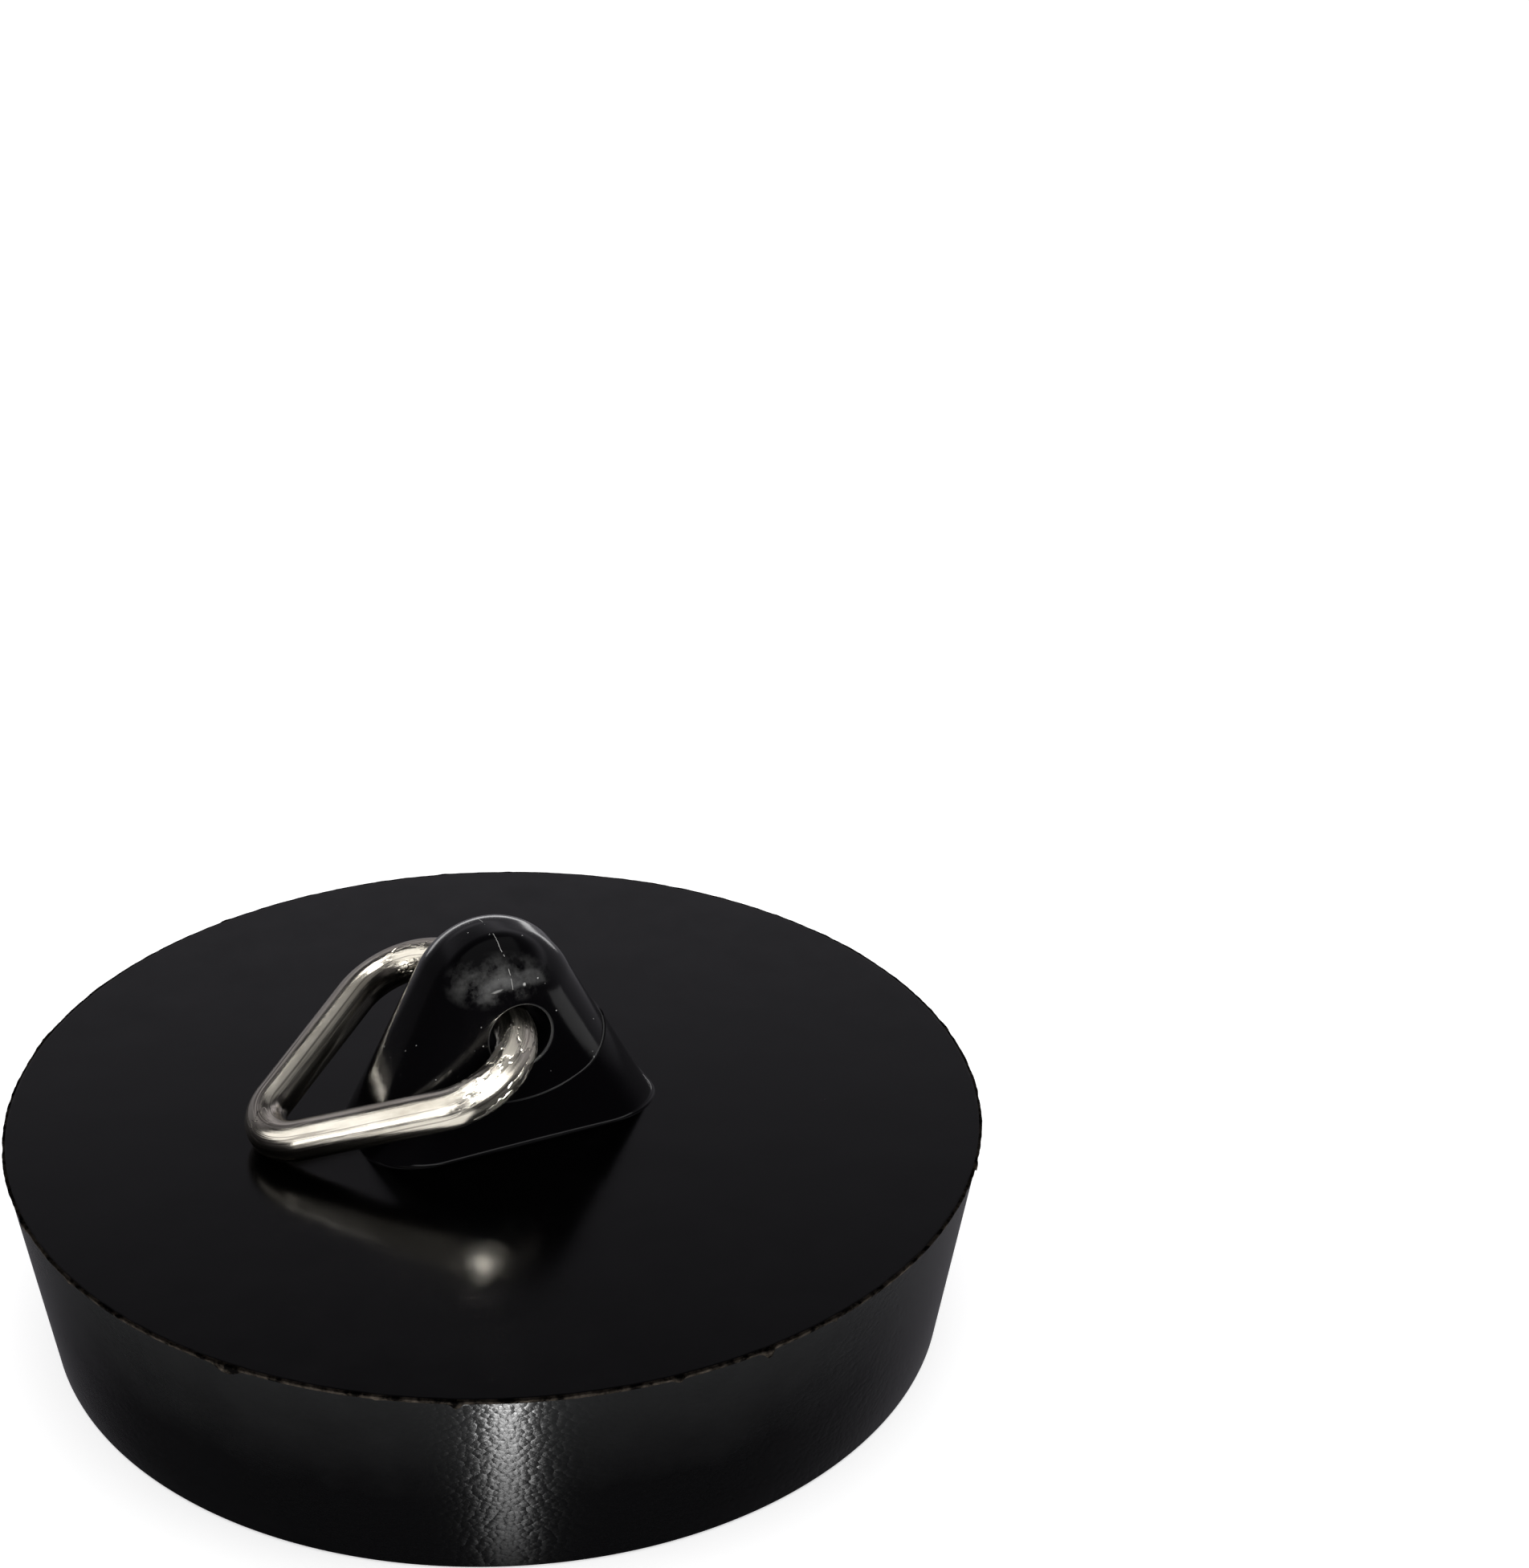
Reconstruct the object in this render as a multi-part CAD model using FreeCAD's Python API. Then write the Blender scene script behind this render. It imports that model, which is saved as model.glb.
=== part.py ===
import FreeCAD, Part
import math
import os

# Drain stopper: a tapered rubber plug, open below, with a wire pull ring in the lug on its top.
# Millimetres. +Z is up, the origin is the middle of the mouth rim that the plug stands on,
# +X runs along the lug and +Y along the hole through it. The ring lies towards -X at rest.

# Plug
MOUTH_DIAMETER = 44.4
SIDE_TAPER = 3.6            # how much wider the plug is at the top than at the mouth
PLUG_HEIGHT = 10.8
DISC_THICKNESS = 2.4
MOUTH_WALL = 1.45
CAVITY_LEAN = 12.4          # degrees, the inner wall leans in towards the cavity's floor
TOP_EDGE_ROUND = 0.2
MOUTH_EDGE_ROUND = 0.25
FLOOR_CORNER_ROUND = 0.8

# Gate mark in the middle of the cavity's floor
GATE_DIAMETER = 2.0
GATE_DEPTH = 0.5
GATE_NUB_DIAMETER = 0.9
GATE_NUB_SHORT = 0.1        # how much shorter the torn nub is than the pit is deep
GATE_RING_WIDTH = 0.5
GATE_RING_HEIGHT = 0.12

# Lug on the top disc, heights measured from the disc
LUG_LENGTH = 15.1
LUG_THICKNESS = 7.5
LUG_HEIGHT = 10.15
LUG_DOME_RADIUS = 3.9
LUG_DRAFT = 4.0             # degrees, the two broad faces lean in towards the top
LUG_EDGE_ROUND = 2.6
ROUND_LIMIT = 0.9           # largest share of the lug's top or dome that its edge round may take
HOLE_COVER = 4.35           # from the middle of the hole to the top of the lug

# Foot of the lug: a little proud below a mould line that dips in the middle
FOOT_HEIGHT = 2.4
FOOT_END_INSET = 0.85       # how far inside the lug's ends the mould line turns upright
FOOT_STEP = 0.12

# Pull ring, sizes along the middle of the wire
WIRE_DIAMETER = 2.0
HOLE_PLAY = 1.2             # how much wider the hole is than the wire
BASE_RUN_SHORT = 0.87       # how much shorter the straight base is than the hole is long
BASE_BEND_RADIUS = 3.4
APEX_BEND_RADIUS = 2.3
RING_PAST_LUG = 4.9         # how far the ring reaches beyond the lug's end
WIRE_END_GAP = 0.2          # between the wire's ends, which meet inside the hole
RING_SIDE_SHIFT = 0.8       # how far the ring has slid along the hole, towards +Y
REST_GAP = 0.1              # between the resting apex and the disc

# Places and sizes that follow
MOUTH_RADIUS = MOUTH_DIAMETER / 2
TOP_RADIUS = MOUTH_RADIUS + SIDE_TAPER / 2
CAVITY_MOUTH_RADIUS = MOUTH_RADIUS - MOUTH_WALL
FLOOR_Z = PLUG_HEIGHT - DISC_THICKNESS
FLOOR_RADIUS = CAVITY_MOUTH_RADIUS - FLOOR_Z * math.tan(math.radians(CAVITY_LEAN))
LUG_SLOPE = math.tan(math.radians(LUG_DRAFT))
LUG_ROOT = DISC_THICKNESS / 2
LUG_TOP_HALF = LUG_THICKNESS / 2 - LUG_HEIGHT * LUG_SLOPE
EDGE_ROUND = min(LUG_EDGE_ROUND, ROUND_LIMIT * LUG_TOP_HALF, ROUND_LIMIT * LUG_DOME_RADIUS)
DOME_Z = LUG_HEIGHT - LUG_DOME_RADIUS
FOOT_ARC_RADIUS = LUG_LENGTH / 2 - FOOT_END_INSET
WIRE_RADIUS = WIRE_DIAMETER / 2
HOLE_RADIUS = (WIRE_DIAMETER + HOLE_PLAY) / 2
HOLE_HEIGHT = LUG_HEIGHT - HOLE_COVER
HOLE_LENGTH = LUG_THICKNESS - 2 * HOLE_HEIGHT * LUG_SLOPE
HOLE_Z = PLUG_HEIGHT + HOLE_HEIGHT
BASE_RUN = HOLE_LENGTH - BASE_RUN_SHORT
RING_REACH = LUG_LENGTH / 2 + RING_PAST_LUG
REST_TILT = math.asin((HOLE_HEIGHT - WIRE_RADIUS - REST_GAP) / RING_REACH)

X_AXIS = FreeCAD.Vector(1, 0, 0)
Y_AXIS = FreeCAD.Vector(0, 1, 0)
Z_AXIS = FreeCAD.Vector(0, 0, 1)
ORIGIN = FreeCAD.Vector(0, 0, 0)
SAME_LENGTH = 1e-6          # lengths nearer than this count as the same


def flat_face(points):
    """Face of a closed polygon."""
    return Part.Face(Part.makePolygon(points + points[:1]))


def same(one, other):
    """Whether two lengths are the same."""
    return math.isclose(one, other, abs_tol=SAME_LENGTH)


def ring_edges(shape, radius, height):
    """Circular edges of a turned shape with this radius at this height."""
    found = []
    for edge in shape.Edges:
        circle = edge.Curve
        if not isinstance(circle, Part.Circle):
            continue
        if same(circle.Radius, radius) and same(circle.Center.z, height):
            found.append(edge)
    return found


def tapered_cup():
    """Top disc and side wall, turned in one piece, with its edges rounded."""
    section = [
        FreeCAD.Vector(CAVITY_MOUTH_RADIUS, 0, 0),
        FreeCAD.Vector(MOUTH_RADIUS, 0, 0),
        FreeCAD.Vector(TOP_RADIUS, 0, PLUG_HEIGHT),
        FreeCAD.Vector(0, 0, PLUG_HEIGHT),
        FreeCAD.Vector(0, 0, FLOOR_Z),
        FreeCAD.Vector(FLOOR_RADIUS, 0, FLOOR_Z),
    ]
    cup = flat_face(section).revolve(ORIGIN, Z_AXIS, 360)
    cup = cup.makeFillet(FLOOR_CORNER_ROUND, ring_edges(cup, FLOOR_RADIUS, FLOOR_Z))
    cup = cup.makeFillet(MOUTH_EDGE_ROUND, ring_edges(cup, MOUTH_RADIUS, 0))
    return cup.makeFillet(TOP_EDGE_ROUND, ring_edges(cup, TOP_RADIUS, PLUG_HEIGHT))


def gate_mark(cup):
    """The moulding's gate: a raised ring round a pit with a torn nub in it."""
    down = -Z_AXIS
    floor_middle = FreeCAD.Vector(0, 0, FLOOR_Z)
    pit_middle = FreeCAD.Vector(0, 0, FLOOR_Z + GATE_DEPTH)
    pit_radius = GATE_DIAMETER / 2
    nub_radius = GATE_NUB_DIAMETER / 2
    nub_height = GATE_DEPTH - GATE_NUB_SHORT
    raised = Part.makeCylinder(pit_radius + GATE_RING_WIDTH, GATE_RING_HEIGHT, floor_middle, down)
    pit = Part.makeCylinder(pit_radius, GATE_DEPTH + GATE_RING_HEIGHT, pit_middle, down)
    nub = Part.makeCone(nub_radius, nub_radius / 2, nub_height, pit_middle, down)
    return cup.fuse(raised).cut(pit).fuse(nub)


def on_lug(x, z):
    """Point in the lug's middle plane, with its height measured from the disc."""
    return FreeCAD.Vector(x, 0, PLUG_HEIGHT + z)


def lug_outline(grow):
    """Broad side of the lug: leaning flanks that run into a round top, down into the disc."""
    dome_radius = LUG_DOME_RADIUS + grow
    half_length = LUG_LENGTH / 2
    to_middle = math.atan2(DOME_Z, half_length)
    flank_angle = to_middle + math.asin(LUG_DOME_RADIUS / math.hypot(DOME_Z, half_length))
    lean = math.pi / 2 - flank_angle
    touch_x = dome_radius * math.cos(lean)
    touch_z = DOME_Z + dome_radius * math.sin(lean)
    root_x = touch_x + (touch_z + LUG_ROOT) * math.tan(lean)
    right_touch = on_lug(touch_x, touch_z)
    left_touch = on_lug(-touch_x, touch_z)
    right_root = on_lug(root_x, -LUG_ROOT)
    left_root = on_lug(-root_x, -LUG_ROOT)
    dome = Part.Arc(left_touch, on_lug(0, DOME_Z + dome_radius), right_touch).toShape()
    right = Part.makeLine(right_touch, right_root)
    root = Part.makeLine(right_root, left_root)
    left = Part.makeLine(left_root, left_touch)
    return Part.Face(Part.Wire([dome, right, root, left]))


def lug_blank(grow):
    """Lug with drafted broad faces and a round along its whole outline, grown by an even skin."""
    skin = grow / math.cos(math.radians(LUG_DRAFT))
    low_half = LUG_THICKNESS / 2 + skin + LUG_ROOT * LUG_SLOPE
    high = LUG_HEIGHT + 2 * grow
    high_half = LUG_THICKNESS / 2 + skin - high * LUG_SLOPE
    half_span = LUG_LENGTH
    low_z = PLUG_HEIGHT - LUG_ROOT
    high_z = PLUG_HEIGHT + high
    wedge_section = [
        FreeCAD.Vector(-half_span, -low_half, low_z),
        FreeCAD.Vector(-half_span, low_half, low_z),
        FreeCAD.Vector(-half_span, high_half, high_z),
        FreeCAD.Vector(-half_span, -high_half, high_z),
    ]
    wedge = flat_face(wedge_section).extrude(X_AXIS * 2 * half_span)
    slab = lug_outline(grow).extrude(Y_AXIS * 2 * LUG_THICKNESS)
    slab.translate(-Y_AXIS * LUG_THICKNESS)
    blank = slab.common(wedge).Solids[0]
    outline_edges = []
    for edge in blank.Edges:
        box = edge.BoundBox
        if box.ZLength > LUG_ROOT and box.YMin * box.YMax > 0:
            outline_edges.append(edge)
    return blank.makeFillet(EDGE_ROUND + grow, outline_edges)


def lug_foot():
    """The proud foot below the dipping mould line."""
    arc_middle = on_lug(0, FOOT_HEIGHT + FOOT_ARC_RADIUS) - Y_AXIS * LUG_THICKNESS
    above_line = Part.makeCylinder(FOOT_ARC_RADIUS, 2 * LUG_THICKNESS, arc_middle, Y_AXIS)
    return lug_blank(FOOT_STEP).cut(above_line)


def cross_hole():
    """The ring's hole, right through the lug."""
    start = FreeCAD.Vector(0, -LUG_THICKNESS, HOLE_Z)
    return Part.makeCylinder(HOLE_RADIUS, 2 * LUG_THICKNESS, start, Y_AXIS)


def stopper_body():
    """The whole rubber moulding."""
    cup = gate_mark(tapered_cup())
    lug = lug_blank(0).fuse(lug_foot())
    return cup.fuse(lug).removeSplitter().cut(cross_hole())


def wire_run(start, end):
    """Straight piece of the ring's wire."""
    along = end - start
    return Part.makeCylinder(WIRE_RADIUS, along.Length, start, along)


def wire_bend(middle, start, turn):
    """Bent piece of the ring's wire, from a start point, turned about a middle by so many degrees."""
    out = start - middle
    heading = Z_AXIS.cross(out)
    section = Part.Face(Part.Wire(Part.makeCircle(WIRE_RADIUS, start, heading)))
    return section.revolve(middle, Z_AXIS, turn)


def mirrored(shape):
    """The same shape on the other side of the ring's middle line."""
    return shape.mirror(ORIGIN, Y_AXIS)


def flat_ring():
    """Ring lying flat: its base side along Y through the origin, its apex towards -X."""
    base_middle = FreeCAD.Vector(-BASE_BEND_RADIUS, BASE_RUN / 2, 0)
    apex_middle = FreeCAD.Vector(APEX_BEND_RADIUS - RING_REACH, 0, 0)
    between = apex_middle - base_middle
    narrowing = math.asin((BASE_BEND_RADIUS - APEX_BEND_RADIUS) / between.Length)
    half_angle = math.atan2(-between.y, -between.x) + narrowing
    leg_out = FreeCAD.Vector(-math.sin(half_angle), math.cos(half_angle), 0)
    leg_start = base_middle + leg_out * BASE_BEND_RADIUS
    leg_end = apex_middle + leg_out * APEX_BEND_RADIUS
    base_end = FreeCAD.Vector(0, base_middle.y, 0)
    base_turn = 90 + math.degrees(half_angle)
    apex_turn = 180 - 2 * math.degrees(half_angle)
    wire_tip = FreeCAD.Vector(0, WIRE_END_GAP / 2, 0)
    half = [
        wire_run(wire_tip, base_end),
        wire_bend(base_middle, base_end, base_turn),
        wire_run(leg_start, leg_end),
    ]
    apex = wire_bend(apex_middle, leg_end, apex_turn)
    pieces = half + [mirrored(piece) for piece in half]
    return apex.multiFuse(pieces).removeSplitter()


def pull_ring():
    """Ring hung in the lug's hole, tipped until its apex lies on the disc."""
    ring = flat_ring()
    ring.rotate(ORIGIN, Y_AXIS, -math.degrees(REST_TILT))
    ring.translate(FreeCAD.Vector(0, RING_SIDE_SHIFT, HOLE_Z))
    return ring


def main():
    os.makedirs("parts", exist_ok=True)
    nodes = {"stopper_body": stopper_body(), "pull_ring": pull_ring()}
    for name, shape in nodes.items():
        solid = shape.Solids[0]
        print(name, "solids", len(shape.Solids), "valid", solid.isValid(), "volume", solid.Volume)
        solid.exportStep("parts/" + name + ".step")
    shared = nodes["stopper_body"].common(nodes["pull_ring"])
    print("volume shared by the ring and the body", shared.Volume)
    print("pivot height", HOLE_Z, "swing to the far rest", 180 + 2 * math.degrees(REST_TILT))


main()
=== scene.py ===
import math

import bmesh
import bpy
from mathutils import Matrix, Vector, noise


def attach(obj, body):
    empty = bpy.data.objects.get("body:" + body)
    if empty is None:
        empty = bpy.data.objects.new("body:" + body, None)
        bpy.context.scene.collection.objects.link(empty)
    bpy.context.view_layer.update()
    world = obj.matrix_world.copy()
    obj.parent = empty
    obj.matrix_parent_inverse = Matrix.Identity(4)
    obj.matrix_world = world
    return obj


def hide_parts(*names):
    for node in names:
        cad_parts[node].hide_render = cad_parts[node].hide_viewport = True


# Drain stopper: the rubber plug and its wire pull ring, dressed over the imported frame.
# Sizes are in millimetres and are turned to metres by MM. The lug's and the foot's own heights count
# from the disc. Places of marks and lamps count from the frame's origin.

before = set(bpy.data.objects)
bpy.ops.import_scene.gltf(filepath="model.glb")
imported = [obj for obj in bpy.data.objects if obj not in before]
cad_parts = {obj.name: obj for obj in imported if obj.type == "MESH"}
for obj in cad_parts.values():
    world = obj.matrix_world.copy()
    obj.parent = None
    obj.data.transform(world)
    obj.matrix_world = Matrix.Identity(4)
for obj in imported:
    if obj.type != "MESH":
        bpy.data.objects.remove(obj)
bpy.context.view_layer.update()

MM = 0.001
SAME = 0.005                # lengths nearer than this count as the same
MERGE = 0.001               # vertices nearer than this are merged

# Plug
MOUTH_RADIUS = 22.2
TOP_RADIUS = 24.0
PLUG_HEIGHT = 10.8
FLOOR_Z = 8.4
CAVITY_MOUTH_RADIUS = 20.75
CAVITY_LEAN = math.radians(12.4)
FLOOR_RADIUS = CAVITY_MOUTH_RADIUS - FLOOR_Z * math.tan(CAVITY_LEAN)
MOUTH_EDGE_ROUND = 0.25
FLOOR_CORNER_ROUND = 0.8
CUP_STEPS = 720
LONGEST_RUN = 2.0           # length of wall or floor between two rings of vertices

# Thin fin of rubber that the mould left round the top rim
FIN_ROOT = 0.11
FIN_REACH = 0.04
FIN_RAGGED = 0.05
FIN_LIFT = 0.02
FIN_HANG = 0.07             # how far the fin's lower edge wanders
TEETH_WAVES = 60
SWELL_WAVES = 9
LIFT_WAVES = 40
FLAKE_WAVES = 26
FLAKE_ONSET = 0.4           # noise above this makes a torn flake
FLAKE_HANG = 1.3            # how far a flake hangs down for each unit of noise
FLAKE_OUT = 0.3
EDGE_MIX = (0.7, 0.6)       # shares of teeth and swell in the fin's outer edge
HANG_MIX = (0.6, 0.8)       # and in its lower edge

# Gate mark in the middle of the cavity's floor
GATE_RADIUS = 1.0
GATE_DEPTH = 0.5
GATE_NUB_RADIUS = 0.45
GATE_NUB_HEIGHT = 0.4
GATE_RING_WIDTH = 0.5
GATE_RING_HEIGHT = 0.12

# Lug
LUG_HALF_LENGTH = 7.55
LUG_HALF_THICKNESS = 3.75
LUG_HEIGHT = 10.15
LUG_DOME_RADIUS = 3.9
LUG_SLOPE = math.tan(math.radians(4.0))
LUG_EDGE_ROUND = 2.6
LUG_SUNK = 0.4              # how far the lug's root goes below the disc's face
DOME_Z = LUG_HEIGHT - LUG_DOME_RADIUS
HOLE_RADIUS = 1.6
HOLE_Z = 5.8
HOLE_RIM_ROUND = 0.12
HOLE_LENGTH = 2 * (LUG_HALF_THICKNESS - HOLE_Z * LUG_SLOPE)
LUG_RAYS = 224
FACE_RINGS = 30
RIM_RINGS = 4
BEYOND = 4 * LUG_HALF_LENGTH    # a length that ends outside every outline
HALVINGS = 40               # steps that close in on an outline
KEY_DIGITS = 5              # headings that are the same to this many digits are one
SETTLINGS = 12              # steps that close in on the foot's mould line

# Foot of the lug, a little out of line with the upper mould half
FOOT_HEIGHT = 2.4
FOOT_ARC_RADIUS = 6.7
FOOT_SHIFT = Vector((0.12, -0.05))
FOOT_FILLET = 0.18
FILLET_RINGS = 6
FOOT_RINGS = 12
FOOT_RAYS = 240
LEDGE_DEPTH = 0.5

# Pull ring
WIRE_RADIUS = 1.0
RING_REACH = 12.45
BASE_RUN_SHORT = 0.87       # how much shorter the straight base is than the hole is long
BASE_RUN = HOLE_LENGTH - BASE_RUN_SHORT
BASE_BEND_RADIUS = 3.4
APEX_BEND_RADIUS = 2.3
WIRE_END_GAP = 0.2
WIRE_END_ROUND = 0.12
RING_SIDE_SHIFT = 0.8
PIVOT_Z = PLUG_HEIGHT + HOLE_Z
REST_GAP = 0.1
REST_TILT = math.asin((PIVOT_Z - PLUG_HEIGHT - WIRE_RADIUS - REST_GAP) / RING_REACH)
WIRE_SIDES = 56
WIRE_STEP = 0.12            # length of wire between two rings of vertices
FAR_BEND_WEAR = 0.45
APEX_WEAR = 0.4
NEAR_BEND_WEAR = 1.0


def metres(*lengths):
    """Point in metres from lengths in millimetres."""
    return Vector(lengths) * MM


def piece(name, shape, finishes, body, node):
    """Object of a finished shape that rides on a body and stands for a CAD node."""
    mesh = bpy.data.meshes.new(name)
    shape.to_mesh(mesh)
    shape.free()
    for finish in finishes:
        mesh.materials.append(finish)
    made = bpy.data.objects.new(name, mesh)
    bpy.context.scene.collection.objects.link(made)
    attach(made, body)
    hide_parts(node)
    return made


def smooth(shape, sharp_angle):
    """Smooth shading, with edges sharper than an angle left crisp."""
    for face in shape.faces:
        face.smooth = True
    for edge in shape.edges:
        if len(edge.link_faces) == 2:
            edge.smooth = edge.calc_face_angle() < sharp_angle


# Cup

DISC, WALL, CAVITY, FIN, MOUTH_RIM = range(5)   # the cup's finishes, in the order that build() gives them


def chain(shape, points):
    """Chain of edges through points given as radius and height."""
    verts = [shape.verts.new(metres(radius, 0, height)) for radius, height in points]
    for one, other in zip(verts, verts[1:]):
        shape.edges.new((one, other))
    return verts


def round_corner(shape, corner, size, segments):
    """Rounds one corner of a chain."""
    bmesh.ops.bevel(shape, geom=[corner], offset=size * MM, offset_type="OFFSET", segments=segments,
                    profile=0.5, affect="VERTICES", material=-1)


def divide_runs(shape, longest):
    """Divides the chain's long runs so that no face of the cup gets too long."""
    for edge in list(shape.edges):
        cuts = int(edge.calc_length() / (longest * MM))
        if cuts:
            bmesh.ops.subdivide_edges(shape, edges=[edge], cuts=cuts)


def around(vert):
    """Angle of a vertex about the plug's middle line."""
    return math.atan2(vert.co.y, vert.co.x)


def ragged(angle, waves, seed):
    """Smooth noise round a rim, from -1 to 1, that closes on itself."""
    spot = Vector((math.cos(angle) * waves, math.sin(angle) * waves, seed))
    return noise.noise(spot)


def tear_fin(shape):
    """Makes the fin on the top rim uneven: short teeth, longer swells and flakes that hang down."""
    for vert in shape.verts:
        radius = math.hypot(vert.co.x, vert.co.y) / MM
        low = (PLUG_HEIGHT - FIN_ROOT) * MM
        if radius < TOP_RADIUS - FIN_ROOT / 2 or vert.co.z < low - SAME * MM:
            continue
        angle = around(vert)
        teeth = ragged(angle, TEETH_WAVES, seed=1.3)
        swell = ragged(angle, SWELL_WAVES, seed=4.1)
        flake = max(0.0, ragged(angle, FLAKE_WAVES, seed=6.4) - FLAKE_ONSET)
        if vert.co.z < low + SAME * MM:
            hang = FIN_HANG * (HANG_MIX[0] * teeth + HANG_MIX[1] * swell) - FLAKE_HANG * flake
            vert.co.z += hang * MM
            radius += FLAKE_OUT * flake
            vert.co.x = math.cos(angle) * radius * MM
            vert.co.y = math.sin(angle) * radius * MM
            continue
        reach = FIN_RAGGED * (EDGE_MIX[0] * teeth + EDGE_MIX[1] * swell) + FLAKE_OUT * flake
        new_radius = max(TOP_RADIUS, radius + reach)
        vert.co.x = math.cos(angle) * new_radius * MM
        vert.co.y = math.sin(angle) * new_radius * MM
        vert.co.z += FIN_LIFT * ragged(angle, LIFT_WAVES, seed=8.7) * MM


def wall_radius(height):
    """Radius of the tapered wall at a height."""
    return MOUTH_RADIUS + (TOP_RADIUS - MOUTH_RADIUS) * height / PLUG_HEIGHT


def cup():
    """Disc, side wall and cavity, turned from one section, with the mould's fin left on the rim."""
    shape = bmesh.new()
    nub_low = FLOOR_Z + GATE_DEPTH - GATE_NUB_HEIGHT
    ring_low = FLOOR_Z - GATE_RING_HEIGHT
    gate_out = GATE_RADIUS + GATE_RING_WIDTH
    mouth_corner = (MOUTH_RADIUS, 0)
    floor_corner = (FLOOR_RADIUS, FLOOR_Z)
    section = [
        (0, PLUG_HEIGHT),
        (TOP_RADIUS - 2 * FIN_ROOT, PLUG_HEIGHT),
        (TOP_RADIUS - FIN_ROOT, PLUG_HEIGHT),
        (TOP_RADIUS + FIN_REACH / 2, PLUG_HEIGHT - FIN_ROOT / 5),
        (TOP_RADIUS + FIN_REACH, PLUG_HEIGHT - FIN_ROOT / 2),
        (wall_radius(PLUG_HEIGHT - FIN_ROOT) + FIN_REACH / 2, PLUG_HEIGHT - FIN_ROOT),
        (wall_radius(PLUG_HEIGHT - 2 * FIN_ROOT), PLUG_HEIGHT - 2 * FIN_ROOT),
        (wall_radius(PLUG_HEIGHT - 3 * FIN_ROOT), PLUG_HEIGHT - 3 * FIN_ROOT),
        mouth_corner,
        (CAVITY_MOUTH_RADIUS, 0),
        floor_corner,
        (gate_out, FLOOR_Z),
        (gate_out - GATE_RING_WIDTH / 3, ring_low),
        (GATE_RADIUS, ring_low),
        (GATE_RADIUS, FLOOR_Z + GATE_DEPTH),
        (GATE_NUB_RADIUS, FLOOR_Z + GATE_DEPTH),
        (GATE_NUB_RADIUS / 2, nub_low),
        (0, nub_low),
    ]
    corners = dict(zip(section, chain(shape, section)))
    round_corner(shape, corners[mouth_corner], MOUTH_EDGE_ROUND, segments=4)
    round_corner(shape, corners[floor_corner], FLOOR_CORNER_ROUND, segments=8)
    divide_runs(shape, LONGEST_RUN)
    bmesh.ops.spin(shape, geom=shape.verts[:] + shape.edges[:], cent=(0, 0, 0), axis=(0, 0, 1),
                   angle=math.tau, steps=CUP_STEPS, use_merge=True)
    bmesh.ops.remove_doubles(shape, verts=shape.verts, dist=MERGE * MM)
    bmesh.ops.recalc_face_normals(shape, faces=shape.faces)
    for face in shape.faces:
        face.material_index = cup_finish(face)
    tear_fin(shape)
    smooth(shape, sharp_angle=math.radians(40))
    wrap_round(shape)
    return shape


def wrap_round(shape):
    """UV map that runs up the plug and round it, for the grain of the wall."""
    layer = shape.loops.layers.uv.new("upright")
    for face in shape.faces:
        middle = face.calc_center_median()
        turn = math.atan2(middle.y, middle.x)
        for loop in face.loops:
            angle = around(loop.vert)
            if angle - turn > math.pi:
                angle -= math.tau
            if turn - angle > math.pi:
                angle += math.tau
            loop[layer].uv = (loop.vert.co.z / (PLUG_HEIGHT * MM), angle / math.tau)


def cup_finish(face):
    """Which finish a face of the cup has."""
    middle = face.calc_center_median()
    radius = math.hypot(middle.x, middle.y) / MM
    height = middle.z / MM
    wall_half = (MOUTH_RADIUS - CAVITY_MOUTH_RADIUS) / 2
    if radius > TOP_RADIUS - FIN_ROOT and height > PLUG_HEIGHT - 2 * FIN_ROOT:
        return FIN
    if height > PLUG_HEIGHT - SAME:
        return DISC
    if height < SAME:
        return MOUTH_RIM
    if radius > wall_radius(height) - wall_half:
        return WALL
    return CAVITY


# Lug

def inset(x, z):
    """How far a point of the lug's middle plane lies inside its outline."""
    reach = math.hypot(DOME_Z, LUG_HALF_LENGTH)
    flank = math.atan2(DOME_Z, LUG_HALF_LENGTH) + math.asin(LUG_DOME_RADIUS / reach)
    lean = math.pi / 2 - flank
    angle = max(lean, math.atan2(z - DOME_Z, abs(x)))
    return LUG_DOME_RADIUS - abs(x) * math.cos(angle) - (z - DOME_Z) * math.sin(angle)


def half_thickness(x, z):
    """Half of the lug's thickness at a point of its middle plane, with its outline rounded off."""
    full = LUG_HALF_THICKNESS - z * LUG_SLOPE
    short = LUG_EDGE_ROUND - max(0.0, inset(x, z))
    if short <= 0:
        return full
    return full - LUG_EDGE_ROUND + math.sqrt(max(0.0, LUG_EDGE_ROUND ** 2 - short ** 2))


def reach_along(start, heading, inside):
    """How far a straight line from a start stays inside a form."""
    near, far = 0.0, BEYOND
    for halving in range(HALVINGS):
        middle = (near + far) / 2
        if inside(start + heading * middle):
            near = middle
        else:
            far = middle
    return near


def in_outline(point):
    """Whether a point of the middle plane is in the lug's outline, root included."""
    return inset(point.x, point.y) > 0 and point.y > -LUG_SUNK


def ring_out(shape, edges, place):
    """Extrudes a closed ring of edges and puts each new vertex where place says."""
    made = bmesh.ops.extrude_edge_only(shape, edges=edges)["geom"]
    new_verts = [item for item in made if isinstance(item, bmesh.types.BMVert)]
    for vert in new_verts:
        vert.co = place(vert.co)
    kept = set(new_verts)
    return [item for item in made if isinstance(item, bmesh.types.BMEdge) and set(item.verts) <= kept]


def lug_ray(spot):
    """Heading of a vertex from the hole's middle, in the lug's middle plane."""
    return Vector((spot.x / MM, spot.z / MM - PLUG_HEIGHT - HOLE_Z)).normalized()


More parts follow.
